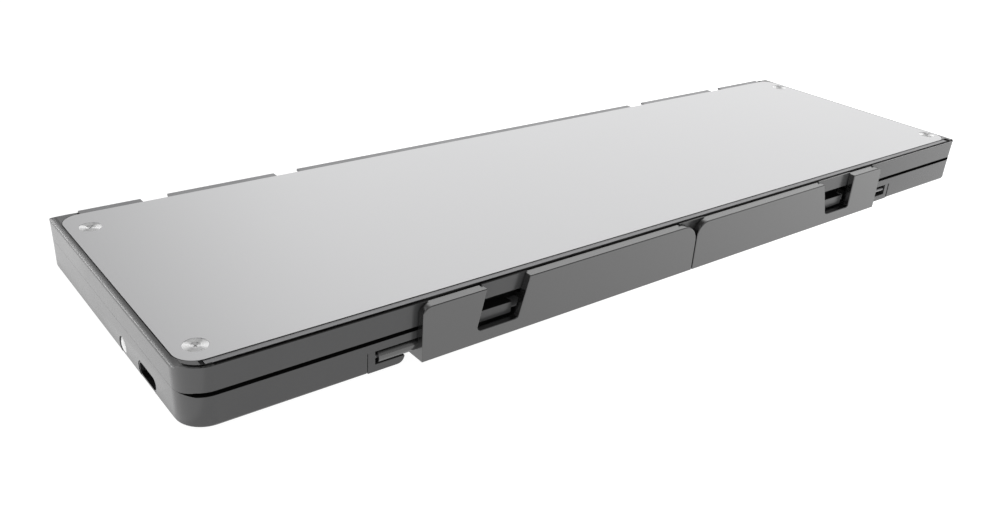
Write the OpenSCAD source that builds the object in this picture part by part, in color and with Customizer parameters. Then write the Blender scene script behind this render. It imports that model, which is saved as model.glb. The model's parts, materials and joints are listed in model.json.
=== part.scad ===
// Folding keyboard, folded flat, with two stand flaps.
// Millimetres. +Z is up, the origin is the middle of the footprint on the table.
// Inside the modules a working frame is used: X=0, Y=0 is the front left corner of the
// cover sheet, Z=0 is its top face. place() moves that frame to the origin.

/* [Body] */
// Length of the cover sheet
cover_l = 250; // [249:0.5:251]
// Depth of the cover sheet
cover_d = 71.5; // [71:0.1:72]
// How far the left end of the shells stands out past the cover sheet
end_out = 1.1; // [1.0:0.05:1.15]
// How far the right end stands out
end_out_r = 1.5; // [1.4:0.05:1.6]
// Front face of the shells at the groove, in front of the cover sheet
front_out = 2.05; // [2.0:0.01:2.1]
// Inward draft of the upper shell's front and rear faces
draft = 0.15; // [0.1:0.05:0.2]
// Back face of the shells
back_y = 79.4; // [79.2:0.1:79.5]
// Radius of the left corners in plan
corner_r = 6; // [5.8:0.1:6.2]
// Radius of the right corners in plan
corner_rr = 3; // [2.8:0.1:3.2]
// Height of the two shells together
shell_h = 13.0; // [13:0.1:13]
// Height of the rubber feet below the shell
foot_h = 0.3; // [0.2:0.05:0.4]
// Radius where the sloping rim turns down into the left end
end_fillet = 1.2; // [1.1:0.1:1.3]
// Radius of the rounded top edge at the right end
end_fillet_r = 1.3; // [1.2:0.1:1.4]

/* [Split] */
// Depth of the groove's upper edge below the cover
groove_top = 5.45; // [5.4:0.05:5.5]
// Depth of the groove's lower edge below the cover
groove_bot = 6.4; // [6.35:0.05:6.45]

/* [Sheets] */
// Thickness of the cover sheets
cover_t = 0.5; // [0.4:0.05:0.55]
// Corner radius of the cover sheet
cover_r = 4.5; // [4:0.5:5]
// Width of the chassis strips along the cover's long edges
strip_w = 1.45; // [1.3:0.05:1.5]

/* [Fold hinge] */
// Height of the hinge axis below the cover
axis_z = 6.6; // [6.58:0.01:6.62]
// Hinge axis behind the front edge of the cover
axis_y = 80.2; // [80.2:0.1:80.4]
// Knuckle radius
knuckle_r = 2.2; // [2.1:0.05:2.25]
// Hinge pin radius
pin_r = 0.8; // [0.7:0.05:0.9]

/* [Stand flaps] */
// Outer end of the left flap
flap_x0 = 47.0; // [46.9:0.1:47.2]
// Outer end of the right flap, measured the same way from the middle line
flap_x0_r = 48.3; // [48.2:0.1:48.4]
// Line between the two flaps
flap_mid = 127.4; // [127.2:0.1:127.6]
// Gap between the two flaps
flap_gap = 0.4; // [0.3:0.1:0.6]
// Thickness of a flap
flap_t = 1.8; // [1.7:0.05:1.8]
// Flap pivot axis, Y
piv_y = -1.3; // [-1.3:0.05:-1.25]
// Flap pivot axis, Z
piv_z = -9.85; // [-9.9:0.05:-9.85]
// Radius of the flap's end stub
stub_r = 1.4; // [1.35:0.05:1.4]
// Flap pin radius
flap_pin_r = 0.6; // [0.5:0.05:0.65]

/* [Keys] */
// Key pitch across
key_u = 17.6; // [17.4:0.1:17.6]
// Row pitch
row_p = 18.6; // [18.4:0.1:18.6]
// Gap between neighbouring caps
key_gap = 1.6; // [1.4:0.1:2]
// Cap height
cap_h = 1.65; // [1.6:0.05:1.65]
// Clearance between a cap and its hole in the deck
hole_gap = 0.3; // [0.25:0.05:0.35]

/* [Left end] */
// Socket centre, Y
usb_y = 16.4; // [16:0.1:17]
// Socket centre, Z
usb_z = -10.85; // [-10.9:0.05:-10.8]
// Power button centre, Y
btn_y = 29.7; // [29.5:0.1:30]
// Power button centre, Z
btn_z = -10.9; // [-10.95:0.05:-10.85]
// Power button radius
btn_r = 1.75; // [1.6:0.05:1.8]

/* [Hidden] */
$fn = 48;
e = 0.01;
foot_z = -shell_h - foot_h;
front_top = -front_out - 0.45;
lip_y = front_top + 0.14;
back_mid = back_y - draft - 0.05;
flap_y0 = -4.4;
flap_y1 = flap_y0 + flap_t;
notch_l = [60.75, 71.85, 62.8, 74.3];
notch_r = [61.8, 72.9, 61.8, 76.0];
hinge_back = axis_y + knuckle_r;
mid_x = (cover_l + end_out_r - end_out) / 2;
mid_y = (flap_y0 + hinge_back) / 2;
split_z = -(groove_top + groove_bot) / 2;
// Left and right fold hinge: [arm start, arm end, arm start, arm end]
hinges = [[19.3, 25.7, 53.3, 59.8], [179.9, 186.3, 219.6, 225.1]];
// Rear strip segments between the hinge slots
rear_strips = [[5.1, 19.3], [25.7, 53.3], [59.8, 179.9], [186.3, 219.6], [225.1, 245.9]];
strip_back = 2.3;
// Outer edge of the cap beside each flap, left and right, measured from the left
cap_x = [35.7, 38.1];
// Outer end of each flap's stub
stub_x = [37.95, 45.3];
screws = [[4.7, 5.3], [4.7, 63.5], [cover_l - 3.2, 5.3], [cover_l - 3.2, 63.5]];
base_screws = [[8, 8.4], [8, 71], [cover_l - 8, 8.4], [cover_l - 8, 71]];
// Layers of the upper shell, from the cover down
lid_ch0 = -0.55;
lid_ch1 = -1.15;
lid_mem0 = -2.05;
lid_mem1 = -2.25;
lid_dome1 = -2.5;
lid_deck0 = -3.6;
lid_deck1 = -4.45;
lid_face = -5.45;
// Layers of the lower shell
base_face = -6.35;
base_deck0 = -7.4;
base_deck1 = -8.2;
base_dome0 = -9.3;
base_mem0 = -9.5;
base_mem1 = -9.7;
base_sup1 = -10.25;
base_cov0 = -12.5;
// Keys, from the typist's left, which is the +X end: widths in key pitches
row_f = [for (i = [0:13]) 1];
row_n = concat([for (i = [0:12]) 0.96], [1.52]);
row_q = concat([1.5], [for (i = [0:11]) 0.96], [0.98]);
row_a = concat([1.75], [for (i = [0:10]) 0.96], [1.69]);
row_z = concat([2.42], [for (i = [0:9]) 0.96], [1.0, 0.98]);
row_s = [1.1, 0.96, 0.96, 1.0, 5.06, 1.0, 0.96, 0.98, 1.0, 0.98];
f_y = 32.6;
f_d = 9.6;
q_y = 66.4;
n_y = q_y - row_p;
s_y = q_y - 2 * row_p;
row_d = row_p - key_gap;
keys_x1 = cover_l / 2 + 7 * key_u;
function sum_to(v, n) = n <= 0 ? 0 : v[n - 1] + sum_to(v, n - 1);

module place() { translate([-mid_x, -mid_y, -foot_z]) children(); }

// A box from two corners
module bx(a, b) { translate(a) cube(b - a); }

// Rounded rectangle from x0,y0 to x1,y1
module rr(x0, y0, x1, y1, r) {
  translate([x0 + r, y0]) square([x1 - x0 - 2 * r, y1 - y0]);
  translate([x0, y0 + r]) square([x1 - x0, y1 - y0 - 2 * r]);
  for (x = [x0 + r, x1 - r], y = [y0 + r, y1 - r]) translate([x, y]) circle(r = r);
}

// A block with the shells' outline, wide corners on the left and tight ones on the right,
// tapering from inset i0 at z0 to inset i1 at z1, with conical corners
module tapered(x1, z0, z1, i0, i1) {
  x0 = -end_out; y0 = front_top; y1 = back_y;
  along_x(x0 + corner_r, x1 - corner_rr) polygon([[y0 + i0, z0], [y0 + i1, z1], [y1 - i1, z1], [y1 - i0, z0]]);
  along_y(y0 + corner_r, y1 - corner_r) polygon([[x0 + i0, z0], [x0 + i1, z1], [x0 + 40, z1], [x0 + 40, z0]]);
  along_y(y0 + corner_rr, y1 - corner_rr) polygon([[x1 - i0, z0], [x1 - i1, z1], [x1 - 40, z1], [x1 - 40, z0]]);
  for (y = [y0 + corner_r, y1 - corner_r]) translate([x0 + corner_r, y, z0])
    cylinder(h = z1 - z0, r1 = corner_r - i0, r2 = corner_r - i1, $fn = 96);
  for (y = [y0 + corner_rr, y1 - corner_rr]) translate([x1 - corner_rr, y, z0])
    cylinder(h = z1 - z0, r1 = corner_rr - i0, r2 = corner_rr - i1, $fn = 96);
}

// A rounded slab between two heights
module slab(x0, y0, x1, y1, r, z0, z1) {
  translate([0, 0, z0]) linear_extrude(z1 - z0) rr(x0, y0, x1, y1, r);
}

// A profile given as [y, z] points, drawn out along X
module along_x(x0, x1) {
  translate([x0, 0, 0]) rotate([90, 0, 90]) linear_extrude(x1 - x0) children();
}

// A profile given as [x, z] points, drawn out along Y
module along_y(y0, y1) {
  translate([0, y1, 0]) rotate([90, 0, 0]) linear_extrude(y1 - y0) children();
}

// A cylinder along X
module xcyl(x0, x1, y, z, r) {
  translate([x0, y, z]) rotate([0, 90, 0]) cylinder(h = x1 - x0, r = r);
}

// ---------- upper shell ----------

// Outer body of the upper shell: drafted faces, rounded ends, sloping back
module lid_body() {
  x1 = cover_l + end_out_r;
  slope = draft / (-0.25 - split_z);
  // left rim: a sloping band from the sheet's edge, then a round turn into the end face
  cx = -end_out + slope * 1.5 + end_fillet - 0.02; cz = -1.75;
  ac = sqrt(cx * cx + cz * cz);
  ta = atan2(cz, cx) - asin(end_fillet / ac);
  tl = sqrt(ac * ac - end_fillet * end_fillet);
  rx = x1 - slope * (end_fillet_r - 0.25) - end_fillet_r + 0.02;
  intersection() {
    union() {
      tapered(x1, -8, split_z, draft, draft);
      tapered(x1, split_z, -0.25, draft, 0);
      tapered(x1, -0.25, 0, 0, 0.2);
    }
    along_y(-10, 90) union() {
      translate([0, -8]) square([rx, 8]);
      translate([-3, -8]) square([60, 8 + cz]);
      translate([x1 - 57, -8]) square([60, 8 - end_fillet_r]);
      polygon([[0.5, 0], [0, 0], [tl * cos(ta), tl * sin(ta)], [cx, cz - 0.1], [0.5, cz - 0.1]]);
      translate([cx, cz]) circle(r = end_fillet, $fn = 96);
      translate([rx, -end_fillet_r]) circle(r = end_fillet_r, $fn = 96);
    }
    along_x(-5, cover_l + 5) polygon([[-6, -9], [-6, 1], [72.6, 1], [72.6, 0], [73.1, -0.4], [back_y + 0.1, -3.0], [84, -9]]);
  }
}

// Wedge that opens the groove between the shells, closing to nothing at both ends
module groove_cut(upper) {
  z = upper ? -groove_top : -groove_bot;
  s = split_z + (upper ? 0.02 : -0.02);
  out = upper ? -20 : 20;
  along_y(-10, 95) polygon([[-5, s], [-0.6, s], [1.6, z], [cover_l - 1.6, z],
    [cover_l + 0.6, s], [cover_l + 5, s], [cover_l + 5, out], [-5, out]]);
}

// V-shaped trench between the front strip and the front face
module front_trench() {
  v = [[lip_y, 0.2], [lip_y, -0.1], [-strip_w - 0.3, -1.3], [-strip_w - 0.06, -1.3], [-strip_w - 0.06, 0.2]];
  along_x(corner_r - end_out - 0.01, cover_l + end_out_r - corner_rr + 0.01) polygon(v);
  for (c = [[corner_r - end_out, corner_r, -1], [cover_l + end_out_r - corner_rr, corner_rr, 1]])
    translate([c[0], front_top + c[1], 0]) intersection() {
      rotate_extrude($fn = 96) polygon([[c[1] - 0.17, 0.2], [c[1] - 0.17, -0.1],
        [c[1] - 0.6, -1.2], [c[1] - 0.75, -1.2], [c[1] - 0.75, 0.2]]);
      translate([c[2] < 0 ? -4.6 : 0, -8, -3]) cube([c[2] < 0 ? 4.6 : 2.4, 8, 4]);
      // fades out towards the end
      along_y(-8, 1) polygon([[0, -1], [4.9 * c[2], 0], [4.9 * c[2], 1], [0, 1]]);
    }
}

module lid_frame() color("dimgray") place() difference() {
  lid_body();
  groove_cut(true);
  // seat of the cover and of the chassis under it
  slab(-0.16, -0.04, cover_l + 0.1, cover_d + 0.04, cover_r, lid_ch0 - 0.02, 1);
  bx([1.4, -0.75, lid_ch1 - 0.05], [cover_l - 1.4, cover_d + 0.75, 0 - 0.3]);
  // seats of the visible strips, with the dark relief at their ends
  bx([2.9, -strip_w - 0.06, -1.1], [cover_l - 1.0, 0, 1]);
  bx([2.9, -strip_w - 0.06, -2.2], [3.7, -0.75, 1]);
  bx([4.4, cover_d, -1.1], [cover_l - 3.4, cover_d + 0.8, 1]);
  along_x(4.9, cover_l - 3.9) polygon([[cover_d, 1], [cover_d, -0.8], [73.1, -0.85], [79.6, -3.74], [90, -3.74], [90, 1]]);
  front_trench();
  // room under the chassis, leaving a shelf for the screws in each corner
  bx([8, 0.5, lid_mem0 - 0.2], [cover_l - 8, 72.3, -1]);
  bx([1.4, 9, lid_mem0 - 0.2], [cover_l - 1.4, 59.8, -1]);
  // room for the switch sheets, then the well for the deck and the keys
  slab(2.4, 2.6, cover_l - 2.4, 74.0, 1.5, lid_deck0, lid_mem0 + 0.02);
  slab(2.4, 60, cover_l - 1.6, 75.3, 1.0, lid_deck0, -2.48);
  bx([99, 73, lid_deck0], [113, 75.3, -2.3]);
  slab(1.4, 1.5, cover_l - 1.4, 76.2, 1.5, -7, lid_deck0 + 0.05);
  // slots for the lid's hinge arms, and room for the base's knuckles
  for (h = hinges) {
    for (a = [0, 2]) along_x(h[a], h[a + 1])
      polygon([[71.56, 1], [71.56, -2.25], [74.2, -2.25], [75.0, -2.75], [75.85, -3.5], [77.6, -5.8], [77.6, -9], [90, -9], [90, 1]]);
    xcyl(h[1] - 0.1, h[2] + 0.1, axis_y, -axis_z, knuckle_r + 0.35);
  }
  // rebate under the lip of each flap's top edge
  flap_lips(flap_x0, notch_l, 4.6, 0.25);
  mirror_flap() flap_lips(flap_x0_r, notch_r, 3.5, 0.25);
  // finger scoops behind the notches of the flaps
  bx([60.4, -6, -9], [74.6, 1.1, -4.05]);
  bx([180.4, -6, -9], [194.4, 1.1, -4.05]);
  // passage of the ribbon cable
  bx([99, 74, -8], [113, 85, -4.9]);
  // screw holes in the corner tabs
  for (s = screws) translate([s[0], s[1], -5.4]) cylinder(h = 6, r = 0.8);
}

module lid_cover() color("silver") place() difference() {
  slab(0, 0, cover_l, cover_d, cover_r, -cover_t, 0);
  for (s = screws) translate([s[0], s[1], -1]) cylinder(h = 2, r = 2.4);
}

module lid_cover_screws() color("gainsboro") place()
  for (s = screws) translate([s[0], s[1], 0]) difference() {
    union() {
      translate([0, 0, -0.52]) cylinder(h = 0.5, r = 2.35);
      translate([0, 0, -2.2]) cylinder(h = 1.7, r = 0.75);
    }
    // cross recess
    for (a = [0, 90]) rotate([0, 0, a + 20]) translate([-0.6, -0.14, -0.32]) cube([1.2, 0.28, 1]);
  }

module lid_chassis() color("gray") place() difference() {
  union() {
    bx([1.5, -0.7, lid_ch1], [cover_l - 1.5, cover_d + 0.7, lid_ch0]);
    bx([3.8, -strip_w, -0.75], [cover_l - 2.6, -0.06, -0.15]);
    bx([3.8, -0.7, -0.75], [cover_l - 2.6, -0.06, -0.5]);
    for (s = rear_strips) bx([s[0], cover_d + 0.06, -0.75], [s[1], cover_d + strip_back, -0.15]);
  }
  for (h = hinges) {
    bx([h[0] - e, cover_d - 0.05, -2], [h[1] + e, 80, 1]);
    bx([h[2] - e, cover_d - 0.05, -2], [h[3] + e, 80, 1]);
  }
  for (s = screws) translate([s[0], s[1], -5]) cylinder(h = 6, r = 0.8);
}

// ---------- keys ----------

// One key cap, centred, its face at z = 0 and its skirt below
module cap(w, d) {
  difference() {
    translate([0, 0, -cap_h]) linear_extrude(cap_h) rr(-w / 2, -d / 2, w / 2, d / 2, 1.3);
    translate([0, 0, -cap_h - 1]) linear_extrude(2.05) rr(-w / 2 + 1.1, -d / 2 + 1.1, w / 2 - 1.1, d / 2 - 1.1, 0.6);
  }
}

// Runs children at key i of row v; up tells the side that the caps face
module at_key(v, i, y, z, up) {
  translate([keys_x1 - key_u * (sum_to(v, i) + v[i] / 2), y, z]) rotate([up ? 0 : 180, 0, 0]) children();
}

module keys(v, a, b, y, d, up) {
  for (i = [a:b]) at_key(v, i, y, up ? base_face : lid_face, up) cap(v[i] * key_u - key_gap, d);
}

// Holes in a deck for the caps of a row
module key_holes(v, y, d, z0, z1) {
  for (i = [0:len(v) - 1]) translate([keys_x1 - key_u * (sum_to(v, i) + v[i] / 2), y, 0])
    slab(-(v[i] * key_u - key_gap) / 2 - hole_gap, -d / 2 - hole_gap,
         (v[i] * key_u - key_gap) / 2 + hole_gap, d / 2 + hole_gap, 1.6, z0, z1);
}

// Rubber domes under a row
module domes(v, y, z, up) {
  for (i = [0:len(v) - 1]) at_key(v, i, y, z, up) cylinder(h = 0.95, r1 = 2.6, r2 = 1.5, $fn = 24);
}

module lid_deck() color("#2b2b2e") place() difference() {
  slab(1.5, 1.6, cover_l - 1.5, 76.1, 1.4, lid_deck1, lid_deck0);
  key_holes(row_a, q_y, row_d, -6, -3);
  key_holes(row_z, n_y, row_d, -6, -3);
  key_holes(row_s, s_y, row_d, -6, -3);
  bx([98.5, 74.8, -7], [113.5, 80, 0]);
}

module lid_dome_sheet() color("whitesmoke") place() union() {
  bx([7, 14, lid_dome1], [cover_l - 7, 73.1, lid_mem1]);
  domes(row_a, q_y, lid_dome1 + 0.02, false);
  domes(row_z, n_y, lid_dome1 + 0.02, false);
  domes(row_s, s_y, lid_dome1 + 0.02, false);
}

module lid_membrane() color("lightgray") place()
  bx([7, 12, lid_mem1], [cover_l - 7, 73.1, lid_mem0]);

module lid_magnets() color("silver") place()
  for (x = [16, cover_l - 28]) bx([x, 3.2, -3.55], [x + 12, 9.2, -2.55]);

module base_deck() color("#2b2b2e") place() difference() {
  slab(1.4, 3.4, cover_l - 1.4, 77.0, 1.4, base_deck1, base_deck0);
  key_holes(row_f, f_y, f_d, -10, -6);
  key_holes(row_n, n_y, row_d, -10, -6);
  key_holes(row_q, q_y, row_d, -10, -6);
  bx([98.5, 75.9, -10], [113.5, 80, -5]);
}

module base_dome_sheet() color("whitesmoke") place() difference() {
  union() {
    bx([1.9, 26.5, base_mem0], [cover_l - 1.9, 75.8, base_dome0]);
    domes(row_f, f_y, base_dome0 - 0.02, true);
    domes(row_n, n_y, base_dome0 - 0.02, true);
    domes(row_q, q_y, base_dome0 - 0.02, true);
  }
  bx([0, 26, -12], [6, 34.5, -9]);
}

module base_membrane() color("lightgray") place() difference() {
  bx([1.9, 26.5, base_mem1], [cover_l - 1.9, 75.8, base_mem0]);
  bx([0, 26, -12], [6, 34.5, -9]);
}

module base_support_plate() color("gray") place() difference() {
  bx([1.9, 26.5, base_sup1], [cover_l - 1.9, 75.8, base_mem1]);
  bx([0, 26, -12], [6, 34.5, -9]);
  for (x = [70:30:220]) translate([x, 57, -12]) cylinder(h = 3, r = 3);
}

module esc_key() color("#1f1f22") place() keys(row_f, 0, 0, f_y, f_d, true);
module function_keys() color("#1f1f22") place() keys(row_f, 1, 12, f_y, f_d, true);
module delete_key() color("#1f1f22") place() keys(row_f, 13, 13, f_y, f_d, true);
module number_keys() color("#1f1f22") place() keys(row_n, 0, 12, n_y, row_d, true);
module backspace_key() color("#1f1f22") place() keys(row_n, 13, 13, n_y, row_d, true);
module tab_key() color("#1f1f22") place() keys(row_q, 0, 0, q_y, row_d, true);
module top_letter_keys() color("#1f1f22") place() keys(row_q, 1, 12, q_y, row_d, true);
module backslash_key() color("#1f1f22") place() keys(row_q, 13, 13, q_y, row_d, true);
module caps_lock_key() color("#1f1f22") place() keys(row_a, 0, 0, q_y, row_d, false);
module home_letter_keys() color("#1f1f22") place() keys(row_a, 1, 11, q_y, row_d, false);
module enter_key() color("#1f1f22") place() keys(row_a, 12, 12, q_y, row_d, false);
module left_shift_key() color("#1f1f22") place() keys(row_z, 0, 0, n_y, row_d, false);
module bottom_letter_keys() color("#1f1f22") place() keys(row_z, 1, 10, n_y, row_d, false);
module up_arrow_key() color("#1f1f22") place() keys(row_z, 11, 11, n_y, row_d, false);
module right_shift_key() color("#1f1f22") place() keys(row_z, 12, 12, n_y, row_d, false);
module left_ctrl_key() color("#1f1f22") place() keys(row_s, 0, 0, s_y, row_d, false);
module fn_key() color("#1f1f22") place() keys(row_s, 1, 1, s_y, row_d, false);
module system_key() color("#1f1f22") place() keys(row_s, 2, 2, s_y, row_d, false);
module left_alt_key() color("#1f1f22") place() keys(row_s, 3, 3, s_y, row_d, false);
module space_key() color("#1f1f22") place() keys(row_s, 4, 4, s_y, row_d, false);
module right_alt_key() color("#1f1f22") place() keys(row_s, 5, 5, s_y, row_d, false);
module right_ctrl_key() color("#1f1f22") place() keys(row_s, 6, 6, s_y, row_d, false);
module left_arrow_key() color("#1f1f22") place() keys(row_s, 7, 7, s_y, row_d, false);
module down_arrow_key() color("#1f1f22") place() keys(row_s, 8, 8, s_y, row_d, false);
module right_arrow_key() color("#1f1f22") place() keys(row_s, 9, 9, s_y, row_d, false);

// ---------- lower shell ----------

module base_body() {
  x1 = cover_l + end_out_r;
  tapered(x1, split_z - 0.02, 0, draft, draft);
  tapered(x1, -shell_h + 0.6, split_z - 0.02, draft + 0.05, draft);
  tapered(x1, -shell_h + 0.15, -shell_h + 0.6, draft + 0.3, draft + 0.05);
  tapered(x1, -shell_h, -shell_h + 0.15, draft + 0.6, draft + 0.3);
}

// Pocket beside a flap's outer end that the hinge cap and the stub sit in
module flap_pocket(x, f, g) {
  bx([x - g, -6, -20], [f + 4.6, 2.5, -8.25]);
}

module base_frame() color("dimgray") place() difference() {
  base_body();
  groove_cut(false);
  // well for the deck and the keys
  slab(1.3, 3.3, cover_l - 1.3, 77.1, 1.5, base_deck1, -5);
  // room for the electronics
  bx([1.8, 4.9, base_cov0 + 0.05], [cover_l - 1.8, 76.3, base_deck1 + e]);
  // seat of the bottom cover
  slab(0.6, 4.0, cover_l - 0.6, 77.0, 4, -20, base_cov0 + 0.06);
  // room behind the flaps, so that their feet can swing
  difference() {
    union() {
      bx([flap_x0 - 0.2, -6, -20], [2 * flap_mid - flap_x0_r + 0.2, 2.5, -9.45]);
      bx([flap_x0 - 0.2, -0.95, -20], [2 * flap_mid - flap_x0_r + 0.2, 2.5, -7.6]);
    }
    // middle lug with its neck
    bx([flap_mid - 2.5, piv_y - 1.1, piv_z], [flap_mid + 2.5, 3, -7.4]);
    xcyl(flap_mid - 2.5, flap_mid + 2.5, piv_y, piv_z, 1.1);
  }
  bx([flap_mid - 8, -6, -9.6], [flap_mid - 2.5, piv_y + 1.4, -8.5]);
  bx([flap_mid + 2.5, -6, -9.6], [flap_mid + 8, piv_y + 1.4, -8.5]);
  // recess beside the bar that is seen through each flap's notch
  bx([60.4, -6, -6.75], [74.6, 0.8, 0]);
  bx([180.4, -6, -6.75], [194.4, 0.8, 0]);
  bx([71.2, -6, -9.6], [74.6, 0.8, -6]);
  bx([191.6, -6, -9.6], [194.4, 0.8, -6]);
  xcyl(flap_mid - 3, flap_mid + 3, piv_y, piv_z, flap_pin_r + 0.02);
  flap_pocket(cap_x[0], flap_x0, 0.2);
  mirror_flap() flap_pocket(cap_x[1], flap_x0_r, 0.1);
  // fold hinge: slots for the base's arms, and room for the lid's knuckles
  for (h = hinges) {
    bx([h[1] + 0.1, 74.5, -12.46], [h[2] - 0.1, 90, 0]);
    xcyl(h[0] - 0.2, h[1] + 0.1, axis_y, -axis_z, knuckle_r + 0.35);
    xcyl(h[2] - 0.1, h[3] + 0.2, axis_y, -axis_z, knuckle_r + 0.35);
  }
  // passage of the ribbon cable
  bx([99, 75, -7.05], [113, 85, 0]);
  bx([99, 75, -10.5], [113, 76.4, 0]);
  // charging socket and power button
  translate([-5, usb_y, usb_z]) rotate([90, 0, 90]) linear_extrude(8) rr(-4.6, -1.75, 4.6, 1.75, 1.7);
  xcyl(-5, 3, btn_y, btn_z, btn_r + 0.12);
}

module base_cover() color("silver") place() difference() {
  slab(0.7, 4.1, cover_l - 0.7, 76.9, 4, -shell_h + 0.05, base_cov0);
  bx([0, btn_y - 2.2, -12.75], [3, btn_y + 2.2, -12]);
  for (s = base_screws) translate([s[0], s[1], -20]) cylinder(h = 10, r = 1.7);
}

module base_cover_screws() color("gainsboro") place()
  for (s = base_screws) translate([s[0], s[1], 0]) difference() {
    union() {
      translate([0, 0, -shell_h + 0.08]) cylinder(h = 0.5, r = 1.6);
      translate([0, 0, -shell_h + 0.5]) cylinder(h = 1.5, r = 0.75);
    }
    for (a = [0, 90]) rotate([0, 0, a + 30]) translate([-0.6, -0.14, -shell_h - 0.5]) cube([1.2, 0.28, 0.85]);
  }

module rubber_feet() color("#202020") place()
  for (x = [22, cover_l - 22], y = [10, 70]) translate([x, y, foot_z]) cylinder(h = foot_h + 0.05, r = 4);

module battery() color("#9fa4ab") place()
  slab(78, 5.6, 168, 24.6, 1.5, -12.3, -8.7);

module controller_board() color("darkgreen") place() difference() {
  union() {
    bx([2.0, 5.2, -11.5], [72, 40, -10.8]);
    bx([14, 8, -10.81], [24, 16, -9.9]);
    bx([30, 10, -10.81], [37, 17, -10.0]);
    bx([45, 8, -10.81], [60, 20, -9.6]);
  }
  translate([base_screws[0][0], base_screws[0][1], -14]) cylinder(h = 6, r = 1.2);
  bx([0, usb_y - 4.7, -14], [8.2, usb_y + 4.7, -5]);
  bx([0, btn_y - 2.6, -14], [5.6, btn_y + 2.6, -5]);
}

module usb_c_shell() color("silver") place() difference() {
  translate([-0.8, usb_y, usb_z]) rotate([90, 0, 90]) linear_extrude(8.5) rr(-4.47, -1.62, 4.47, 1.62, 1.6);
  translate([-1, usb_y, usb_z]) rotate([90, 0, 90]) linear_extrude(7.8) rr(-4.17, -1.32, 4.17, 1.32, 1.3);
}

module usb_c_tongue() color("#202020") place()
  bx([0.2, usb_y - 3.35, usb_z - 0.35], [6.8, usb_y + 3.35, usb_z + 0.35]);

module power_switch() color("#303034") place() union() {
  bx([3.0, btn_y - 1.8, btn_z - 1.3], [5.5, btn_y + 1.8, btn_z + 1.3]);
  xcyl(2.45, 3.1, btn_y, btn_z, 0.6);
}

module power_button() color("white") place() union() {
  xcyl(-0.2, 1.9, btn_y, btn_z, btn_r);
  // domed face
  intersection() {
    translate([-0.61 + 4.2, btn_y, btn_z]) sphere(r = 4.2, $fn = 64);
    xcyl(-0.65, -0.05, btn_y, btn_z, btn_r);
  }
  xcyl(1.85, 2.0, btn_y, btn_z, 1.5);
}

module base_magnets() color("silver") place()
  for (x = [16, cover_l - 28]) bx([x, 5.4, -9.8], [x + 12, 11.4, -8.25]);

// ---------- fold hinge ----------

module hinge_lid(h) difference() {
  union() {
    bx([h[1] - 1, 64.6, -1.9], [h[2] + 1, 72.15, -1.3]);
    for (x = [[h[0] + 0.3, h[1] - 0.3], [h[2] + 0.3, h[3] - 0.3]]) {
      along_x(x[0], x[1]) polygon([[64, -2.0], [64, -1.2], [73.6, -1.2], [79.4, -3.65],
        [80.9, -axis_z + 1.7], [80.9, -axis_z], [78.5, -axis_z], [76.0, -3.3], [75.2, -2.55], [74.3, -2.0]]);
      xcyl(x[0], x[1], axis_y, -axis_z, knuckle_r);
    }
  }
  xcyl(h[0], h[3], axis_y, -axis_z, pin_r + 0.05);
}

module hinge_base(h) difference() {
  union() {
    bx([h[1] + 0.4, 62, -12.4], [h[2] - 0.4, 75.6, -11.5]);
    along_x(h[1] + 0.4, h[2] - 0.4) polygon([[62, -12.4], [62, -11.5], [75.3, -11.5], [78.02, -7.6],
      [78.02, -axis_z], [80.2, -axis_z], [80.6, -axis_z - knuckle_r + 0.05], [79.0, -10.3], [77.2, -12.4]]);
    xcyl(h[1] + 0.4, h[2] - 0.4, axis_y, -axis_z, knuckle_r);
  }
  xcyl(0, 250, axis_y, -axis_z, pin_r + 0.02);
}

module hinge_lid_left() color("gray") place() hinge_lid(hinges[0]);
module hinge_lid_right() color("gray") place() hinge_lid(hinges[1]);
module hinge_base_left() color("gray") place() hinge_base(hinges[0]);
module hinge_base_right() color("gray") place() hinge_base(hinges[1]);
module hinge_pins() color("silver") place()
  for (h = hinges) xcyl(h[0] + 0.5, h[3] - 0.5, axis_y, -axis_z, pin_r);

// Ribbon cable: base half up to the fold, and lid half
module flex_cable_base() color("#8a5a1e") place() along_x(100, 112)
  polygon([[73.5, -10.45], [76.25, -10.45], [76.25, -6.9], [79.9, -6.9], [79.9, -6.75], [76.1, -6.75], [76.1, -10.3], [73.5, -10.3]]);
module flex_cable_lid() color("#8a5a1e") place() along_x(100, 112)
  polygon([[73.3, -2.55], [75.05, -2.55], [75.05, -5.2], [79.9, -5.2], [79.9, -5.05], [75.2, -5.05], [75.2, -2.4], [73.3, -2.4]]);

// ---------- stand flaps ----------

// Face of a flap in [x, z]; notch holds the lower left, lower right, upper left and upper right X,
// and r is the radius of the corner next to the other flap
module flap_face(x0, notch, r) {
  x1 = flap_mid - flap_gap / 2; zt = -0.5; zb = -shell_h;
  difference() {
    union() {
      translate([x0, zb]) square([x1 - x0, zt - r - zb]);
      translate([x0, zb]) square([20, zt - 2 - zb]);
      translate([x0 + 2, zb]) square([x1 - x0 - 2 - r, zt - zb]);
      translate([x0 + 2, zt - 2]) circle(r = 2);
      translate([x1 - r, zt - r]) circle(r = r, $fn = 96);
    }
    // open-topped notch
    polygon([[notch[2], 1], [notch[2], zt], [notch[0], -9.1], [notch[0] + 0.2, -9.65], [notch[0] + 0.75, -9.95],
      [notch[1] - 0.95, -9.95], [notch[1] - 0.3, -9.75], [notch[1], -9.3], [notch[3], zt], [notch[3] + 0.25, 1]]);
  }
}

// Lip along the top edge of a flap, reaching back to the trench; g is the room left round it
module flap_lips(x0, notch, r, g)
  for (a = [[x0 + 2.3, notch[2] - 0.5], [notch[3] + 0.5, flap_mid - r - 0.6]])
    bx([a[0] - g, g > 0 ? -6 : flap_y1 - 0.3, -1.15 - g], [a[1] + g, -2.0 + g / 2, g > 0 ? 1 : -0.5]);

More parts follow.
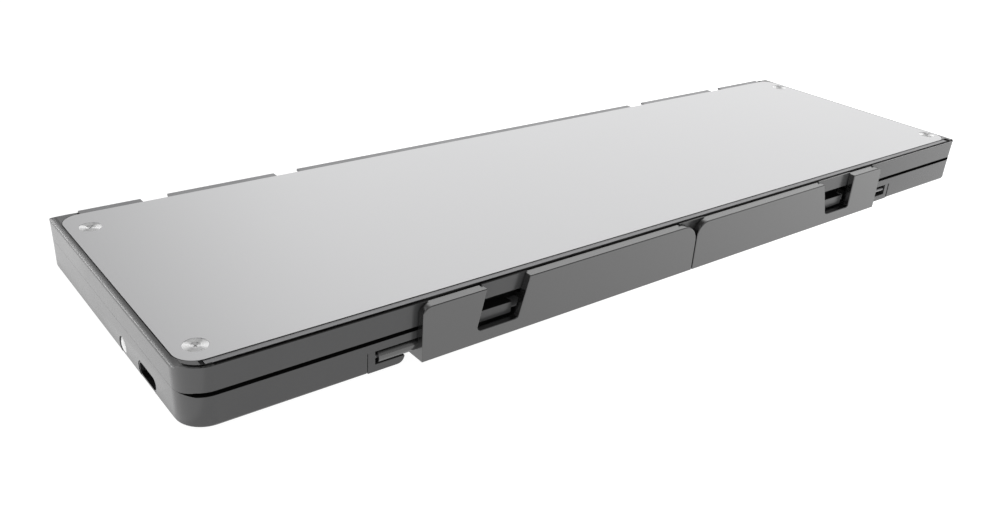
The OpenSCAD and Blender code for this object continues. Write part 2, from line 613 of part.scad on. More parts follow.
module flap(x0, sx, notch, r) difference() {
  union() {
    along_y(flap_y0, flap_y1) flap_face(x0, notch, r);
    flap_lips(x0, notch, r, 0);
    // foot that turns under the lower shell
    along_x(x0, flap_mid - 3.0) polygon([[flap_y1 - 0.2, -shell_h], [0.5, -shell_h], [0.6, -shell_h + 0.1],
      [0.6, -10.3], [0.5, -10.2], [flap_y1 - 0.2, -10.2]]);
    bx([x0, flap_y1 - 0.2, -11], [x0 + 4.2, piv_y + 0.9, piv_z]);
    bx([flap_mid - 7.5, flap_y1 - 0.2, -11], [flap_mid - 3.0, piv_y + 0.9, piv_z]);
    xcyl(sx, x0 + 4.2, piv_y, piv_z, stub_r);
    xcyl(flap_mid - 7.5, flap_mid - 3.0, piv_y, piv_z, 1.1);
  }
  xcyl(sx - 1, sx + 4.1, piv_y, piv_z, flap_pin_r + 0.05);
  xcyl(flap_mid - 6.6, flap_mid, piv_y, piv_z, flap_pin_r + 0.05);
}

module mirror_flap() translate([2 * flap_mid, 0, 0]) mirror([1, 0, 0]) children();

module stand_flap_left() color("dimgray") place() flap(flap_x0, stub_x[0], notch_l, 4.6);
module stand_flap_right() color("dimgray") place() mirror_flap() flap(flap_x0_r, stub_x[1], notch_r, 3.5);

// Cap beside a flap: end strip, back block and a lower lip with a rounded end
module flap_cap(x) difference() {
  union() {
    bx([x, -front_out - 0.1, -shell_h + 0.02], [x + 1.7, 2.4, -8.3]);
    bx([x + 1.6, 1.9, -shell_h + 0.02], [x + 8.6, 2.4, -8.3]);
    along_y(-front_out - 0.1, 2.4) union() {
      translate([x + 1.6, -shell_h + 0.02]) square([5.3, 1.65]);
      intersection() {
        translate([x + 6.9, -11.33]) circle(r = 1.65, $fn = 64);
        translate([x + 6.75, -shell_h + 0.02]) square([2.2, 1.65]);
      }
    }
  }
  xcyl(x + 0.5, x + 3, piv_y, piv_z, flap_pin_r + 0.02);
}

module flap_hinge_caps() color("dimgray") place() union() {
  flap_cap(cap_x[0]);
  mirror_flap() flap_cap(cap_x[1]);
}

module flap_hinge_pins() color("silver") place() union() {
  xcyl(cap_x[0] + 0.7, stub_x[0] + 3.9, piv_y, piv_z, flap_pin_r);
  mirror_flap() xcyl(cap_x[1] + 0.7, stub_x[1] + 3.9, piv_y, piv_z, flap_pin_r);
  xcyl(flap_mid - 6.4, flap_mid + 6.4, piv_y, piv_z, flap_pin_r);
}

base_frame();
base_cover();
base_cover_screws();
base_deck();
base_dome_sheet();
base_membrane();
base_support_plate();
battery();
controller_board();
usb_c_shell();
usb_c_tongue();
power_switch();
power_button();
base_magnets();
hinge_base_left();
hinge_base_right();
hinge_pins();
rubber_feet();
flex_cable_base();
flap_hinge_caps();
flap_hinge_pins();
stand_flap_left();
stand_flap_right();
lid_frame();
lid_cover();
lid_cover_screws();
lid_chassis();
lid_deck();
lid_dome_sheet();
lid_membrane();
lid_magnets();
hinge_lid_left();
hinge_lid_right();
flex_cable_lid();
esc_key();
function_keys();
delete_key();
number_keys();
backspace_key();
tab_key();
top_letter_keys();
backslash_key();
caps_lock_key();
home_letter_keys();
enter_key();
left_shift_key();
bottom_letter_keys();
up_arrow_key();
right_shift_key();
left_ctrl_key();
fn_key();
system_key();
left_alt_key();
space_key();
right_alt_key();
right_ctrl_key();
left_arrow_key();
down_arrow_key();
right_arrow_key();
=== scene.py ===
import bpy, bmesh, json, math
from mathutils import Vector, Matrix


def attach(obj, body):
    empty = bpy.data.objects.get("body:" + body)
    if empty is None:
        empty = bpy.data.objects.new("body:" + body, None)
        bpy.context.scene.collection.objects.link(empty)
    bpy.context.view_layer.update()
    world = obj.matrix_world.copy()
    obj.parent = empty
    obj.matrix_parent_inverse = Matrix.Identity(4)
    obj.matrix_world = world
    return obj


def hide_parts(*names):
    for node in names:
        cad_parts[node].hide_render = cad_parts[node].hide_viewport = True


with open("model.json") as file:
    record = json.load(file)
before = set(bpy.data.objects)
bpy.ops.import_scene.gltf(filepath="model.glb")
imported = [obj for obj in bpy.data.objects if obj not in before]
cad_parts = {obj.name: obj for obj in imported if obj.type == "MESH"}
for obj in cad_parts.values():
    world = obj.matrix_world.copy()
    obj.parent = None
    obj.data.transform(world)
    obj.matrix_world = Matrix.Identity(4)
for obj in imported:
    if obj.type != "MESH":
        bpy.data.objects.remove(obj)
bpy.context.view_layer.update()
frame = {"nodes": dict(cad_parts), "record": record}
N = frame["nodes"]

# Offset from the sheet's front left corner (mm) to the shared frame
OX, OY, OZ = 125.2, 39.0, 13.3


def P(x, y, z):
    return Vector(((x - OX) / 1000, (y - OY) / 1000, (z + OZ) / 1000))


# ------------------------------------------------------------------ materials

def new_mat(name):
    m = bpy.data.materials.new(name)
    m.use_nodes = True
    nt = m.node_tree
    bsdf = nt.nodes["Principled BSDF"]
    return m, nt, bsdf


def obj_coord(nt, scale=(1, 1, 1)):
    tc = nt.nodes.new("ShaderNodeTexCoord")
    mp = nt.nodes.new("ShaderNodeMapping")
    mp.inputs["Scale"].default_value = scale
    nt.links.new(tc.outputs["Object"], mp.inputs["Vector"])
    return mp.outputs["Vector"]


def noise(nt, vec, scale, detail=3.0, rough=0.5):
    n = nt.nodes.new("ShaderNodeTexNoise")
    n.inputs["Scale"].default_value = scale
    n.inputs["Detail"].default_value = detail
    n.inputs["Roughness"].default_value = rough
    nt.links.new(vec, n.inputs["Vector"])
    return n.outputs["Fac"]


def ramp(nt, fac, lo, hi, p0=0.3, p1=0.7):
    r = nt.nodes.new("ShaderNodeMapRange")
    r.inputs["From Min"].default_value = p0
    r.inputs["From Max"].default_value = p1
    r.inputs["To Min"].default_value = lo
    r.inputs["To Max"].default_value = hi
    r.clamp = True
    nt.links.new(fac, r.inputs["Value"])
    return r.outputs["Result"]


def colour_mix(nt, fac, a, b):
    m = nt.nodes.new("ShaderNodeMix")
    m.data_type = "RGBA"
    m.inputs["A"].default_value = (*a, 1)
    m.inputs["B"].default_value = (*b, 1)
    nt.links.new(fac, m.inputs["Factor"])
    return m.outputs["Result"]


def bump(nt, bsdf, height, dist, strength=1.0, chain=None):
    b = nt.nodes.new("ShaderNodeBump")
    b.inputs["Distance"].default_value = dist
    b.inputs["Strength"].default_value = strength
    nt.links.new(height, b.inputs["Height"])
    if chain is not None:
        nt.links.new(chain, b.inputs["Normal"])
    nt.links.new(b.outputs["Normal"], bsdf.inputs["Normal"])
    return b.outputs["Normal"]


def grainy(name, c0, c1, r0, r1, grain=4500.0, dist=0.00002, strength=0.25, metallic=0.0,
           ior=1.5, cloud=40.0, stretch=(1, 1, 1), spec=0.5):
    """A moulded or blasted surface: cloudy colour and roughness, and a fine grain."""
    m, nt, b = new_mat(name)
    v = obj_coord(nt, stretch)
    cl = noise(nt, v, cloud, 4, 0.6)
    fine = noise(nt, v, grain, 2, 0.6)
    nt.links.new(colour_mix(nt, ramp(nt, cl, 0, 1, 0.35, 0.65), c0, c1), b.inputs["Base Color"])
    nt.links.new(ramp(nt, cl, r0, r1, 0.35, 0.65), b.inputs["Roughness"])
    b.inputs["Metallic"].default_value = metallic
    b.inputs["IOR"].default_value = ior
    b.inputs["Specular IOR Level"].default_value = spec
    bump(nt, b, fine, dist, strength)
    return m


M = {}
M["flap"] = grainy("flap", (0.012, 0.012, 0.012), (0.015, 0.015, 0.015), 0.20, 0.24, grain=5000, dist=0.00001, strength=0.06, ior=2.1, cloud=60)
M["shell"] = grainy("shell", (0.050, 0.050, 0.051), (0.054, 0.054, 0.055), 0.22, 0.26, grain=5000, dist=0.00001, strength=0.06, ior=1.58, cloud=60)
M["cover_sheet"] = grainy("cover_sheet", (0.425, 0.425, 0.43), (0.435, 0.435, 0.44), 0.28, 0.29, grain=12000, dist=0.000004, strength=0.05, metallic=1.0, cloud=8)
# Near-black copy of the plastic: painted shade for the groove, scoops, pockets and relief beside the strips.
M["recess"] = grainy("recess", (0.006, 0.006, 0.006), (0.009, 0.009, 0.009), 0.6, 0.7, grain=4000, dist=0.00002, strength=0.2, spec=0.25, cloud=200)
M["screw_metal"] = grainy("screw_metal", (0.86, 0.86, 0.86), (0.92, 0.92, 0.92), 0.12, 0.2, grain=6000, dist=0.00001, strength=0.1, metallic=1.0, cloud=900)
M["dark_sheet"] = grainy("dark_sheet", (0.20, 0.20, 0.204), (0.225, 0.225, 0.23), 0.36, 0.44, grain=7000, dist=0.00001, strength=0.15, metallic=1.0, cloud=120)
M["hinge_metal"] = grainy("hinge_metal", (0.20, 0.20, 0.205), (0.25, 0.25, 0.255), 0.28, 0.4, grain=6000, dist=0.00001, strength=0.2, metallic=1.0, cloud=300)
M["deck_plastic"] = grainy("deck_plastic", (0.030, 0.030, 0.032), (0.036, 0.036, 0.038), 0.42, 0.50, grain=4000, dist=0.00003, strength=0.3, cloud=60)
M["key_plastic"] = grainy("key_plastic", (0.020, 0.020, 0.022), (0.026, 0.026, 0.028), 0.46, 0.56, grain=3500, dist=0.00003, strength=0.3, cloud=90)
M["dome_rubber"] = grainy("dome_rubber", (0.55, 0.55, 0.52), (0.62, 0.62, 0.58), 0.6, 0.7, grain=2500, dist=0.00003, strength=0.2, cloud=120)
M["film"] = grainy("film", (0.55, 0.58, 0.58), (0.60, 0.63, 0.62), 0.15, 0.25, grain=1500, dist=0.00001, strength=0.1, cloud=200)
M["battery_foil"] = grainy("battery_foil", (0.45, 0.46, 0.48), (0.55, 0.56, 0.58), 0.25, 0.4, grain=700, dist=0.0001, strength=0.4, metallic=0.8, cloud=120)
M["board"] = grainy("board", (0.01, 0.10, 0.04), (0.015, 0.14, 0.055), 0.25, 0.35, grain=3000, dist=0.00001, strength=0.1, cloud=500)
# Steel of the socket kept far darker than bare steel: painted shade for the inside of the port.
M["socket_steel"] = grainy("socket_steel", (0.10, 0.10, 0.102), (0.13, 0.13, 0.132), 0.30, 0.40, grain=5000, dist=0.00001, strength=0.2, metallic=1.0, cloud=900)
M["tongue_plastic"] = grainy("tongue_plastic", (0.012, 0.012, 0.012), (0.02, 0.02, 0.02), 0.4, 0.5, grain=4000, dist=0.00002, strength=0.2, cloud=900)
M["button_white"] = grainy("button_white", (0.78, 0.78, 0.78), (0.82, 0.82, 0.82), 0.14, 0.2, grain=4000, dist=0.00001, strength=0.05, cloud=900)
M["magnet"] = grainy("magnet", (0.55, 0.55, 0.55), (0.65, 0.65, 0.65), 0.15, 0.25, grain=3000, dist=0.00001, strength=0.1, metallic=1.0, cloud=500)
M["feet_rubber"] = grainy("feet_rubber", (0.018, 0.018, 0.018), (0.026, 0.026, 0.026), 0.65, 0.75, grain=3000, dist=0.00004, strength=0.4, cloud=300)
M["flex_film"] = grainy("flex_film", (0.30, 0.14, 0.03), (0.38, 0.18, 0.04), 0.25, 0.35, grain=1500, dist=0.00001, strength=0.1, cloud=300)

def trench_mat():
    """Painted shade inside the trench: near black at the left end, a painted lighter grey towards the right end where
    the light reaches in; matte.
    """
    m, nt, b = new_mat("trench")
    v = obj_coord(nt)
    sx = nt.nodes.new("ShaderNodeSeparateXYZ")
    nt.links.new(v, sx.inputs["Vector"])
    # painted shade and light: colour rises from near black to grey along X
    painted_light_ramp = ramp(nt, sx.outputs["X"], 0.0, 1.0, -0.06, 0.09)
    col = colour_mix(nt, painted_light_ramp, (0.02, 0.02, 0.02), (0.50, 0.50, 0.50))
    mt = nt.nodes.new("ShaderNodeMix")
    mt.data_type = "RGBA"
    mt.blend_type = "MULTIPLY"
    mt.inputs["Factor"].default_value = 1.0
    nt.links.new(col, mt.inputs["A"])
    nt.links.new(colour_mix(nt, ramp(nt, noise(nt, v, 300.0, 3), 0, 1), (0.9, 0.9, 0.9), (1, 1, 1)), mt.inputs["B"])
    nt.links.new(mt.outputs["Result"], b.inputs["Base Color"])
    b.inputs["Roughness"].default_value = 0.65
    b.inputs["Specular IOR Level"].default_value = 0.25
    bump(nt, b, noise(nt, v, 4000.0, 2), 0.00002, 0.2)
    return m


M["trench"] = trench_mat()

for sp in frame["record"]["subparts"]:
    o = N[sp["node"]]
    o.data.materials.clear()
    o.data.materials.append(M[sp["material_slot"]])


# ------------------------------------------------------------------ mesh helpers

def mesh_obj(name, bm, mat, body, smooth=True):
    bmesh.ops.recalc_face_normals(bm, faces=bm.faces)
    me = bpy.data.meshes.new(name)
    bm.to_mesh(me)
    bm.free()
    for p in me.polygons:
        p.use_smooth = smooth
    o = bpy.data.objects.new(name, me)
    bpy.context.scene.collection.objects.link(o)
    me.materials.append(mat)
    if body:
        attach(o, body)
    return o


def rr_loop(w, d, r, n=6):
    """Points of a rounded rectangle, anticlockwise, the same count for every size."""
    pts = []
    for cx, cy, a0 in ((w / 2 - r, d / 2 - r, 0), (-w / 2 + r, d / 2 - r, 90), (-w / 2 + r, -d / 2 + r, 180), (w / 2 - r, -d / 2 + r, 270)):
        for k in range(n + 1):
            a = math.radians(a0 + 90 * k / n)
            pts.append((cx + r * math.cos(a), cy + r * math.sin(a)))
    return pts


def loft(bm, rings, close_first=True, close_last=True):
    """Joins rings of the same count with quads."""
    loops = [[bm.verts.new(p) for p in ring] for ring in rings]
    for a, b in zip(loops, loops[1:]):
        n = len(a)
        for i in range(n):
            bm.faces.new((a[i], a[(i + 1) % n], b[(i + 1) % n], b[i]))
    if close_first:
        bm.faces.new(list(reversed(loops[0])))
    if close_last:
        bm.faces.new(loops[-1])
    return loops


def key_caps(node, up):
    """Caps with a dished face, rounded edges and a hollow underside, one for each solid of the node."""
    o = N[node]
    bm0 = bmesh.new()
    bm0.from_mesh(o.data)
    bmesh.ops.remove_doubles(bm0, verts=bm0.verts, dist=1e-6)
    seen, boxes = set(), []
    for v in bm0.verts:
        if v in seen:
            continue
        stack, part = [v], []
        seen.add(v)
        while stack:
            u = stack.pop()
            part.append(u.co.copy())
            for ed in u.link_edges:
                q = ed.other_vert(u)
                if q not in seen:
                    seen.add(q)
                    stack.append(q)
        lo = Vector([min(c[i] for c in part) for i in range(3)])
        hi = Vector([max(c[i] for c in part) for i in range(3)])
        boxes.append((lo, hi))
    bm0.free()
    bm = bmesh.new()
    mm = 0.001
    for lo, hi in sorted(boxes, key=lambda b: b[0].x):
        w, d, h = hi.x - lo.x, hi.y - lo.y, hi.z - lo.z
        cx, cy = (lo.x + hi.x) / 2, (lo.y + hi.y) / 2
        face, s = (hi.z, -1.0) if up else (lo.z, 1.0)

        def ring(inset, depth, r):
            return [(cx + x, cy + y, face + s * depth) for x, y in rr_loop(w - 2 * inset, d - 2 * inset, r)]
        skirt = 0.06 * mm
        rings = [ring(1.15 * mm, 0.6 * mm, 0.5 * mm), ring(1.1 * mm, h - 0.02 * mm, 0.6 * mm), ring(1.05 * mm, h, 0.65 * mm),
                 ring(0.06 * mm, h, 1.25 * mm), ring(0.0, h - 0.06 * mm, 1.3 * mm), ring(skirt, 0.42 * mm, 1.3 * mm),
                 ring(skirt + 0.03 * mm, 0.24 * mm, 1.3 * mm), ring(skirt + 0.11 * mm, 0.11 * mm, 1.25 * mm),
                 ring(skirt + 0.24 * mm, 0.03 * mm, 1.15 * mm), ring(skirt + 0.42 * mm, 0.0, 1.0 * mm)]
        for k, (ins, dep) in enumerate(((1.2, 0.035), (2.2, 0.085), (3.4, 0.125))):
            if d / 2 - ins * mm > 0.9 * mm:
                rings.append(ring(ins * mm, dep * mm, max(0.9 * mm - 0.15 * k * mm, 0.3 * mm)))
        loft(bm, rings)
    body = node
    k = mesh_obj(node + "_cap", bm, M["key_plastic"], body)
    b = k.modifiers.new("edge", "BEVEL")
    b.width = 0.00004
    b.segments = 2
    b.limit_method = "ANGLE"
    b.angle_limit = math.radians(50)
    b.use_clamp_overlap = True
    k.data.set_sharp_from_angle(angle=math.radians(40))
    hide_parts(node)
    return k


def lathe(name, profile, centre, mat, body, seg=72):
    """Turned piece about Z; profile is [(radius, height), ...] in mm from the bottom round to the top."""
    bm = bmesh.new()
    rings = []
    for r, z in profile:
        rings.append([(max(r, 0.0005) / 1000 * math.cos(2 * math.pi * i / seg), max(r, 0.0005) / 1000 * math.sin(2 * math.pi * i / seg), z / 1000) for i in range(seg)])
    loft(bm, rings)
    o = mesh_obj(name, bm, mat, None)
    o.location = centre
    o.data.set_sharp_from_angle(angle=math.radians(50))
    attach(o, body)
    return o


def turned_metal(name, c, rough, aniso):
    """Bright metal with the fine rings of a lathe around the piece's own axis."""
    m, nt, b = new_mat(name)
    tc = nt.nodes.new("ShaderNodeTexCoord")
    ln = nt.nodes.new("ShaderNodeVectorMath")
    ln.operation = "LENGTH"
    mul = nt.nodes.new("ShaderNodeVectorMath")
    mul.operation = "MULTIPLY"
    mul.inputs[1].default_value = (1, 1, 0)
    nt.links.new(tc.outputs["Object"], mul.inputs[0])
    nt.links.new(mul.outputs["Vector"], ln.inputs[0])
    w = nt.nodes.new("ShaderNodeTexNoise")
    w.noise_dimensions = "1D"
    w.inputs["Scale"].default_value = 26000
    w.inputs["Detail"].default_value = 2
    nt.links.new(ln.outputs["Value"], w.inputs["W"])
    bump(nt, b, w.outputs["Fac"], 0.00001, 0.6)
    nt.links.new(colour_mix(nt, w.outputs["Fac"], c, tuple(x * 0.86 for x in c)), b.inputs["Base Color"])
    nt.links.new(ramp(nt, w.outputs["Fac"], rough, rough + 0.08), b.inputs["Roughness"])
    b.inputs["Metallic"].default_value = 1.0
    b.inputs["Anisotropic"].default_value = aniso
    b.inputs["Anisotropic Rotation"].default_value = 0.25
    tg = nt.nodes.new("ShaderNodeTangent")
    tg.direction_type = "RADIAL"
    tg.axis = "Z"
    nt.links.new(tg.outputs["Tangent"], b.inputs["Tangent"])
    return m


M["turned"] = turned_metal("turned", (0.97, 0.97, 0.97), 0.50, 0.95)


def screw(name, x, y, zt, r, body, down=True, drive_angle=20):
    """Countersunk screw with turned rings on its head and a cross recess."""
    s = 1 if down else -1
    prof = [(0.0, -2.2), (0.55, -2.2), (0.75, -2.05), (0.75, -0.52), (r - 0.05, -0.52), (r, -0.47), (r, -0.05), (r - 0.03, -0.02)]
    k = r - 0.03
    while k > 1.15:
        prof += [(k - 0.06, -0.045), (k - 0.12, -0.03)]
        k -= 0.12
    prof += [(1.05, -0.05), (0.9, -0.16), (0.55, -0.2), (0.0, -0.22)]
    prof = [(a, b * s) for a, b in prof]
    o = lathe(name, prof, P(x, y, zt), M["turned"], body)
    bm = bmesh.new()
    for a in (drive_angle, drive_angle + 90):
        c, sn = math.cos(math.radians(a)), math.sin(math.radians(a))
        ring = lambda L, t, z: [((u * c - v * sn) / 1000, (u * sn + v * c) / 1000, z * s / 1000) for u, v in ((-L, -t), (L, -t), (L, t), (-L, t))]
        loft(bm, [ring(0.28, 0.06, -0.62), ring(0.62, 0.15, 0.3)])
    cut = mesh_obj(name + "_cut", bm, M["turned"], None, smooth=False)
    cut.location = P(x, y, zt)
    bpy.context.view_layer.update()
    md = o.modifiers.new("cross", "BOOLEAN")
    md.object = cut
    md.operation = "DIFFERENCE"
    md.solver = "EXACT"
    md.use_self = True
    dg = bpy.context.evaluated_depsgraph_get()
    baked = bpy.data.meshes.new_from_object(o.evaluated_get(dg))
    o.modifiers.clear()
    o.data = baked
    bpy.data.objects.remove(cut)
    return o


def rounded(node, mat, pick, width, seg=3, angle=30, shade_pick=None, tune=None):
    """Visual copy of a CAD node whose chosen edges are rounded; pick takes the ends of an edge in mm, in the sheet's frame."""
    src = N[node]
    me = src.data.copy()
    o = bpy.data.objects.new(node + "_rounded", me)
    bpy.context.scene.collection.objects.link(o)
    o.matrix_world = src.matrix_world.copy()
    bm = bmesh.new()
    bm.from_mesh(me)
    bmesh.ops.remove_doubles(bm, verts=bm.verts, dist=1e-7)
    bmesh.ops.dissolve_limit(bm, angle_limit=math.radians(0.15), use_dissolve_boundaries=False, verts=bm.verts, edges=bm.edges)
    lay = bm.edges.layers.float.get("bevel_weight_edge") or bm.edges.layers.float.new("bevel_weight_edge")
    off = Vector((OX, OY, -OZ))
    for ed in bm.edges:
        if len(ed.link_faces) != 2:
            continue
        if ed.calc_face_angle(0) < math.radians(angle) or not ed.is_convex:
            continue
        p, q = (src.matrix_world @ v.co * 1000 + off for v in ed.verts)
        w = pick(p, q)
        if w:
            ed[lay] = min(1.0, w / width)
    bm.to_mesh(me)
    bm.free()
    for p in me.polygons:
        p.use_smooth = True
    me.set_sharp_from_angle(angle=math.radians(angle))
    b = o.modifiers.new("edge", "BEVEL")
    b.width = width / 1000
    b.segments = seg
    b.limit_method = "WEIGHT"
    b.use_clamp_overlap = False
    wn = o.modifiers.new("normals", "WEIGHTED_NORMAL")
    wn.keep_sharp = True
    wn.weight = 100
    me.materials.clear()
    me.materials.append(M[mat])
    # Faces that the picking function marks get painted shade: the near-black recess colour (1) or the trench's shade
    # ramp (2).
    if shade_pick:
        me.materials.append(M["recess"])
        me.materials.append(M["trench"])
        for p in me.polygons:
            c = src.matrix_world @ p.center * 1000 + off
            p.material_index = int(shade_pick(c, p.normal))
    if tune:
        # the bevels are applied, then the shading of the outer skin follows the drawn curves
        dg = bpy.context.evaluated_depsgraph_get()
        baked = bpy.data.meshes.new_from_object(o.evaluated_get(dg), preserve_all_data_layers=True, depsgraph=dg)
        o.modifiers.clear()
        o.data = baked
        nrm = [Vector(c.vector) for c in baked.corner_normals]
        for p in baked.polygons:
            for i in p.loop_indices:
                c = src.matrix_world @ baked.vertices[baked.loops[i].vertex_index].co * 1000 + off
                nrm[i] = tune(c, p.normal) or nrm[i]
        baked.normals_split_custom_set([tuple(n) for n in nrm])
    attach(o, BODY[node])
    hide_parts(node)
    return o


BODY = {n: b for b, ns in frame["record"]["behaviour"]["bodies"].items() for n in ns}


def lid_edges(p, q):
    m = (p + q) / 2
    if m.z < -5.0 and m.z > -7.5 and not (60 < m.x < 75 or 180 < m.x < 195):
        return 0                                    # the seam and the groove stay crisp
    if -2.5 < m.y < 72.2 and -1.0 < m.x < 250.9:
        return 0                                    # inside
    if m.y < -2.2 and m.z > -0.6:
        return 0.05                                 # lip of the trench
    return 0.12


def base_edges(p, q):
    m = (p + q) / 2
    if m.z > -7.3 and not (60 < m.x < 75 or 180 < m.x < 195):
        return 0
    if m.z < -12.2:
        return 0.12
    if m.x < -0.9 and 10 < m.y < 35:
        return 0.03                                 # mouths of the socket and the button
    if m.y < -2.0:
        return 0.1 if m.x < 200 else 0.03
    return 0


def flap_edges(p, q):
    m = (p + q) / 2
    return 0.2 if m.y < -4.3 else 0.1


def scoop(c):
    return c.y > -2.3 and (60.3 < c.x < 74.7 or 180.3 < c.x < 194.5)


def lid_painted_shade(c, n):
    """Painted shade on the upper shell: the trench and strip seat get the trench's shade ramp; the relief beside the
    strips, the groove and the scoops get the near-black recess colour.
    """
    if c.z < -5.3 and c.z > -6.1 and n.z < -0.9 and not (1.5 < c.x < 248.5 and 1.6 < c.y < 76):
        return True                                 # roof of the groove, painted shade
    if c.z < -3.9 and scoop(c) and c.y < 1.3:
        return True
    if c.z < -0.12 and -2.45 < c.y < -0.8 and c.z > -2.4 and 2.0 < c.x < 245.0 and (n.y > 0.1 or n.z > 0.3 or (c.y > -1.8 and n.y < -0.5)):
        return 2                                    # trench and strip seat, painted shade ramp
    return c.y > 71.7 and c.z < -0.9 and c.z > -2.3 and n.z > 0.5


def base_painted_shade(c, n):
    # painted shade: the near-black recess colour on the groove floor and the scoops
    if c.z > -6.9 and n.z > 0.9 and (c.x < 1.4 or c.x > 248.6 or c.y < 3.3 or c.y > 77):
        return True                                 # floor of the groove, painted shade
    return c.z < -6.5 and scoop(c) and c.z > -9.6


# corners of the outline: centre, outward signs and radius
CORNERS = ((4.9, 3.5, -1, -1, 6.0), (4.9, 73.4, -1, 1, 6.0), (248.5, 0.5, 1, -1, 3.0), (248.5, 76.4, 1, 1, 3.0))


def skin(c, n):
    """Shading normal of the outer skin: plain upright walls, true round corners, one smooth curve over the left rim."""
    if c.z > -2.6 and c.x < 0.02 and n.x < -0.1 and n.z > -0.1 and 3.6 < c.y < 73.3:
        a = (0.0, 0.0), (-0.82, -0.98), (-1.07, -1.75)
        s = min(math.hypot(c.x, c.z), 1.28) if c.x > -0.82 else 1.28 + min(max(-0.98 - c.z, 0.0), 0.77)
        t = math.radians(64.0) * (1 - s / 2.05)
        return Vector((-math.cos(t), 0, math.sin(t)))
    if abs(n.z) > 0.3 or c.z < -12.3:
        return None
    for x, y, sx, sy, r in CORNERS:
        dx, dy = c.x - x, c.y - y
        if dx * sx > -0.05 and dy * sy > -0.05 and math.hypot(dx, dy) > r - 0.35:
            d = Vector((dx, dy, 0)).normalized()
            return d if d.dot(n) > 0.8 else None
    if n.x < -0.98 and c.x < -0.8:
        return Vector((-1, 0, -0.06)).normalized()
    if n.y < -0.98 and c.y < -2.2:
        return Vector((0, -1, 0))
    return None


rounded("lid_frame", "shell", lid_edges, 0.12, shade_pick=lid_painted_shade, tune=skin)
rounded("base_frame", "shell", base_edges, 0.12, shade_pick=base_painted_shade, tune=skin)
for n in ("stand_flap_left", "stand_flap_right"):
    rounded(n, "flap", flap_edges, 0.2)
# Backs and inner pocket walls of the hinge caps get the near-black recess colour: painted shade.
rounded("flap_hinge_caps", "shell", lambda p, q: 0.08, 0.08, shade_pick=lambda c, n: c.y > 0.5 or (c.y > -1.9 and n.y < -0.9))

# the button's face stands a little nearer to the mouth of its recess
src = N["power_button"]
me = src.data.copy()
off = Vector((OX, OY, -OZ))
for vt in me.vertices:
    if (src.matrix_world @ vt.co * 1000 + off).x < 0.5:
        vt.co.x -= 0.0004
btn = bpy.data.objects.new("power_button_face", me)
bpy.context.scene.collection.objects.link(btn)
btn.matrix_world = src.matrix_world.copy()
for p in me.polygons:
    p.use_smooth = True
me.set_sharp_from_angle(angle=math.radians(35))
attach(btn, BODY["power_button"])
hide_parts("power_button")

for nm in ("esc_key", "function_keys", "delete_key", "number_keys", "backspace_key", "tab_key", "top_letter_keys", "backslash_key"):
    key_caps(nm, True)
for nm in ("caps_lock_key", "home_letter_keys", "enter_key", "left_shift_key", "bottom_letter_keys", "up_arrow_key", "right_shift_key",
           "left_ctrl_key", "fn_key", "system_key", "left_alt_key", "space_key", "right_alt_key", "right_ctrl_key", "left_arrow_key",
           "down_arrow_key", "right_arrow_key"):
    key_caps(nm, False)

lid_screws = [screw("lid_screw_%d" % i, x, y, 0.0, 2.385, "lid", True, 20 + 31 * i)
              for i, (x, y) in enumerate(((4.7, 5.3), (4.7, 63.5), (246.8, 5.3), (246.8, 63.5)))]
for o in lid_screws:
    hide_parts("lid_cover_screws")

# ------------------------------------------------------------------ stage

floor_m, nt, b = new_mat("floor")
v = obj_coord(nt)
nt.links.new(colour_mix(nt, ramp(nt, noise(nt, v, 3.0), 0, 1), (0.20, 0.20, 0.20), (0.22, 0.22, 0.22)), b.inputs["Base Color"])
b.inputs["Roughness"].default_value = 0.9
b.inputs["Emission Color"].default_value = (1, 1, 1, 1)
# the glow of the floor rises towards the right and beside the left end
sx = nt.nodes.new("ShaderNodeSeparateXYZ")
nt.links.new(v, sx.inputs["Vector"])
glow = nt.nodes.new("ShaderNodeMath")
glow.operation = "ADD"
nt.links.new(ramp(nt, sx.outputs["X"], 0.96, 1.44, -0.06, 0.16), glow.inputs[0])
nt.links.new(ramp(nt, sx.outputs["X"], 0.34, 0.0, -0.1278, -0.1262), glow.inputs[1])
nt.links.new(glow.outputs["Value"], b.inputs["Emission Strength"])
me = bpy.data.meshes.new("floor")
me.from_pydata([(-6, -6, 0), (6, -6, 0), (6, 6, 0), (-6, 6, 0)], [], [(0, 1, 2, 3)])
floor = bpy.data.objects.new("floor", me)
bpy.context.scene.collection.objects.link(floor)
floor.data.materials.append(floor_m)

# Soft surroundings: brighter towards the back right, dimmer towards the left
w = bpy.data.worlds.new("studio")
bpy.context.scene.world = w
w.use_nodes = True
nt = w.node_tree
bg = nt.nodes["Background"]
tc = nt.nodes.new("ShaderNodeTexCoord")
sep = nt.nodes.new("ShaderNodeSeparateXYZ")
nt.links.new(tc.outputs["Generated"], sep.inputs["Vector"])


def sky_range(sock, a, b, lo, hi):
    r = nt.nodes.new("ShaderNodeMapRange")
    r.interpolation_type = "SMOOTHSTEP"
    for k, val in (("From Min", a), ("From Max", b), ("To Min", lo), ("To Max", hi)):
        r.inputs[k].default_value = val
    nt.links.new(sock, r.inputs["Value"])
    return r.outputs["Result"]


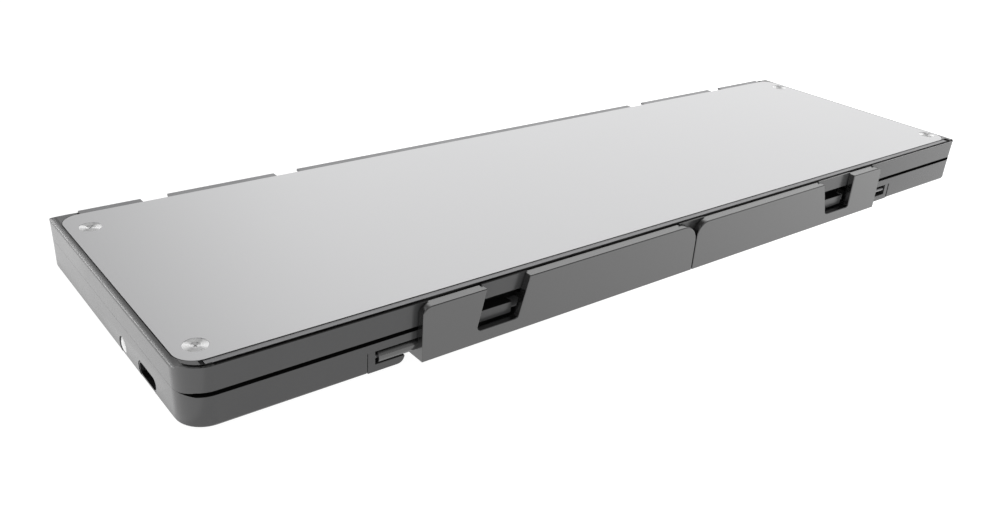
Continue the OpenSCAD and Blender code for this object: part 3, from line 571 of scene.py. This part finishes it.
side = sky_range(sep.outputs["X"], 0.05, 0.45, 0.74, 1.50)
behind = sky_range(sep.outputs["Y"], -0.1, 0.35, 0.0, 1.0)
mx = nt.nodes.new("ShaderNodeMix")
mx.data_type = "FLOAT"
mx.inputs["A"].default_value = 0.6
nt.links.new(behind, mx.inputs["Factor"])
nt.links.new(side, mx.inputs["B"])
high = sky_range(sep.outputs["Z"], 0.58, 0.8, 1.0, 0.12)
ml = nt.nodes.new("ShaderNodeMath")
ml.operation = "MULTIPLY"
nt.links.new(mx.outputs["Result"], ml.inputs[0])
nt.links.new(high, ml.inputs[1])
nt.links.new(ml.outputs["Value"], bg.inputs["Strength"])
bg.inputs["Color"].default_value = (1, 1, 1, 1)


def area(name, loc, target, size, power):
    l = bpy.data.lights.new(name, "AREA")
    l.shape = "RECTANGLE"
    l.size, l.size_y = size
    l.energy = power
    o = bpy.data.objects.new(name, l)
    bpy.context.scene.collection.objects.link(o)
    o.location = loc
    d = Vector(target) - Vector(loc)
    o.rotation_euler = d.to_track_quat("-Z", "Y").to_euler()
    return o


area("top", (0.0, 0.0, 1.6), (0, 0, 0), (1.3, 1.3), 3.0)
# low soft card behind the left end, seen in the rounded rim of the upper shell
area("rim_card", (-0.90, 1.40, 0.08), (-0.10, 0.0, 0.0), (0.85, 0.12), 2.6)

# ------------------------------------------------------------------ camera

cam_d = bpy.data.cameras.new("camera")
cam_d.sensor_width = 36.0
cam_d.lens = 35.0
cam_d.clip_start = 0.005
cam_d.clip_end = 50
cam = bpy.data.objects.new("camera", cam_d)
bpy.context.scene.collection.objects.link(cam)
right = Vector((0.78809897, -0.61248091, 0.06137709))
up = Vector((0.22550823, 0.38006265, 0.89704984))
back = Vector((-0.57275304, -0.69312302, 0.43764647))
m = Matrix((right, up, back)).transposed().to_4x4()
m.translation = Vector((-0.17321, -0.18062, 0.10647))
cam.matrix_world = m
bpy.context.scene.camera = cam
bpy.context.scene.view_settings.view_transform = "Standard"
bpy.context.scene.view_settings.look = "None"
